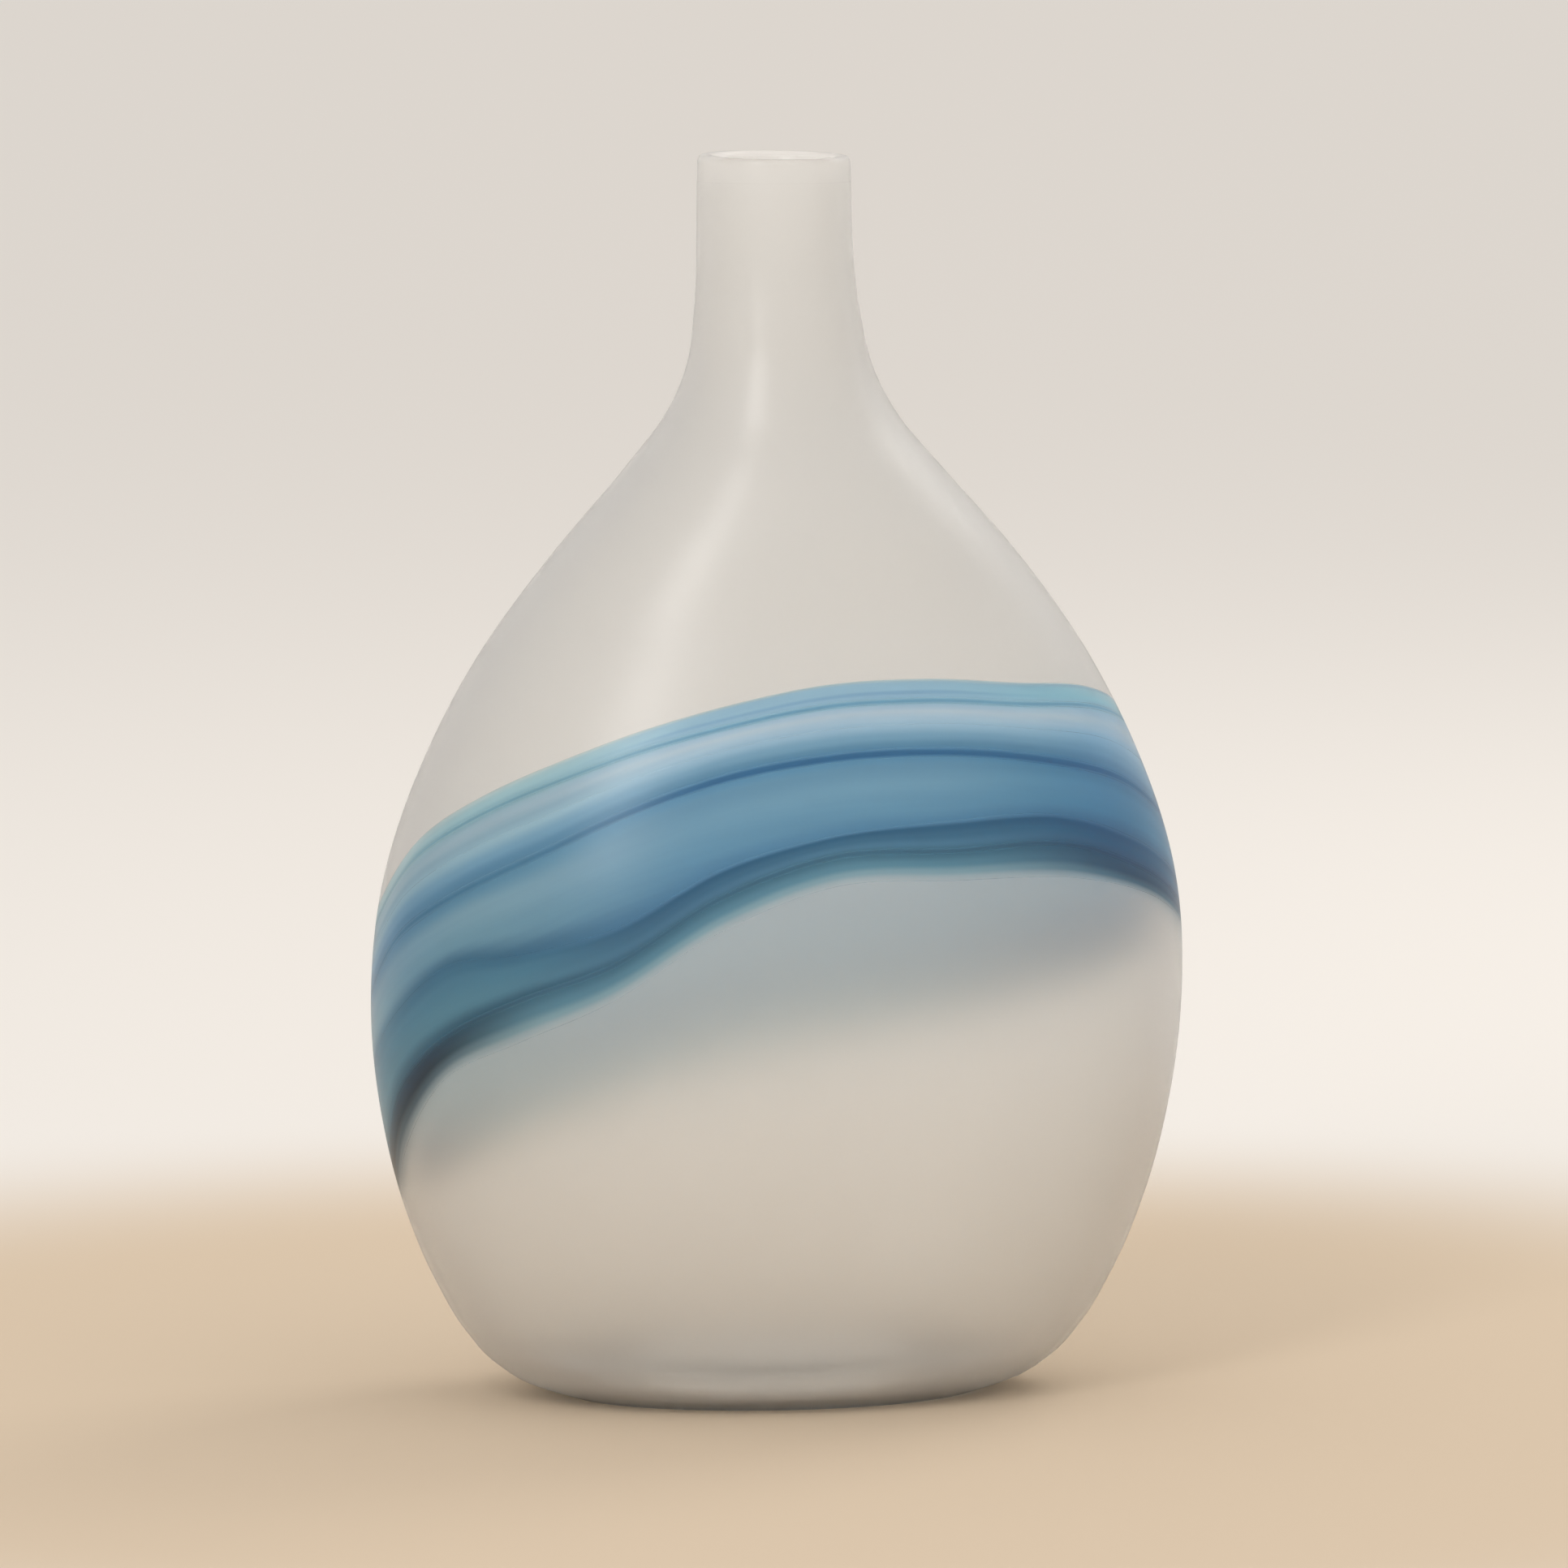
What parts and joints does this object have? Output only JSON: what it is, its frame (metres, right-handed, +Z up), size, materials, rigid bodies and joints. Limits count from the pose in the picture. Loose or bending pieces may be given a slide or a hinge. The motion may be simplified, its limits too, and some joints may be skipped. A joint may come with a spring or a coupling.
{
  "type": "vase",
  "caption": "Flattened bottle-shaped hand blown glass vase: satin clear body, swirling blue colour ribbons round the belly, slim neck and polished lip.",
  "frame": {"origin": "centre of the bounding box at its base, on the surface that the vase stands on", "axes": "+Z up through the mouth, +X across the broad side, -Y the front, where the swirl crests"},
  "size_m": [0.1979, 0.1266, 0.3],
  "materials": {
    "clear_glass": "fire-polished gloss",
    "satin_glass": "acid-etched satin",
    "ground_glass": "ground and half polished",
    "pale_blue_glass": "satin, pale blue",
    "slate_blue_glass": "satin, slate blue",
    "opal_glass": "satin, milky",
    "haze_blue_glass": "satin, hazy blue",
    "deep_blue_glass": "satin, deep blue",
    "mid_blue_glass": "satin, mid blue",
    "navy_glass": "satin, navy",
    "teal_glass": "satin, teal, feathered"
  },
  "bodies": {
    "root": {"inner_bubble": "clear_glass", "upper_casing": "satin_glass", "lower_casing": "satin_glass", "lip_ring": "clear_glass", "pontil_button": "ground_glass", "pale_ribbon": "pale_blue_glass", "upper_thread": "slate_blue_glass", "opal_ribbon": "opal_glass", "haze_ribbon": "haze_blue_glass", "dark_trail": "deep_blue_glass", "broad_ribbon": "mid_blue_glass", "navy_ribbon": "navy_glass", "seam_thread": "deep_blue_glass", "teal_ribbon": "teal_glass"}
  },
  "joints": []
}
